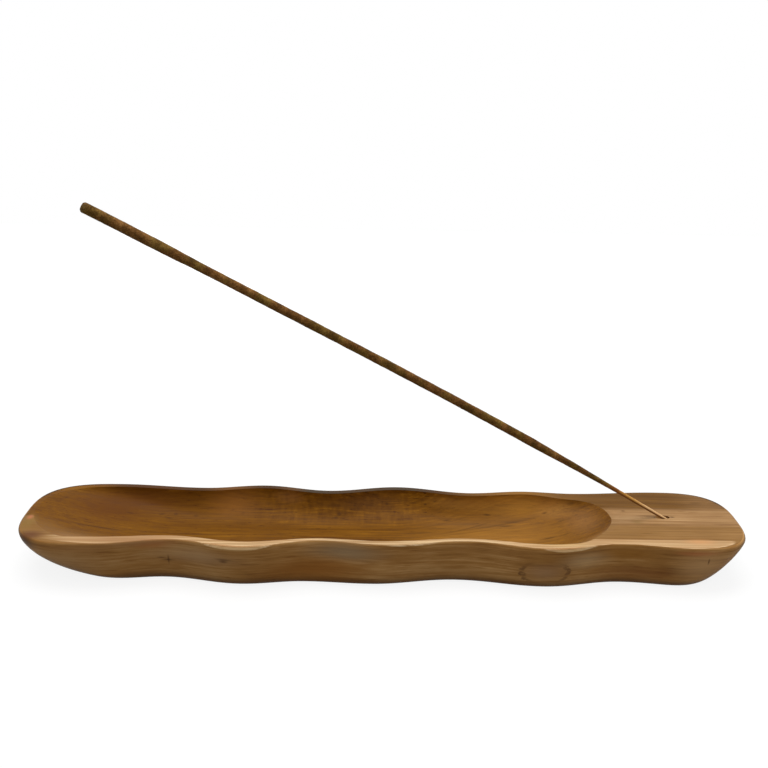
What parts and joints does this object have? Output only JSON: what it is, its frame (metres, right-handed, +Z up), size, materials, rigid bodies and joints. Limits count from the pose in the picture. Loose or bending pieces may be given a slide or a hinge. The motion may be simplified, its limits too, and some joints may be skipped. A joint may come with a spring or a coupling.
{
  "type": "incense stick holder",
  "caption": "Long carved wooden tray with wavy sides, an ash trough and a flat deck with a slanted hole that holds an incense stick.",
  "frame": {"origin": "under the middle of the tray, on the surface it stands on", "axes": "+X along the tray towards the stick's hole, +Y across it, +Z up; the stick leans towards -X"},
  "size_m": [0.251, 0.0445, 0.1243],
  "materials": {
    "tray_wood": "satin oiled hardwood",
    "bamboo": "split bamboo, raw",
    "incense_paste": "matt pressed wood powder"
  },
  "bodies": {
    "tray": {"tray": "tray_wood"},
    "stick": {"bamboo_core": "bamboo", "incense_paste": "incense_paste"}
  },
  "joints": [
    {"name": "stick_pull", "type": "slide", "parent": "tray", "child": "stick", "axis": [-0.8776, 0, 0.4795], "range_m": [0, 0.03]}
  ]
}
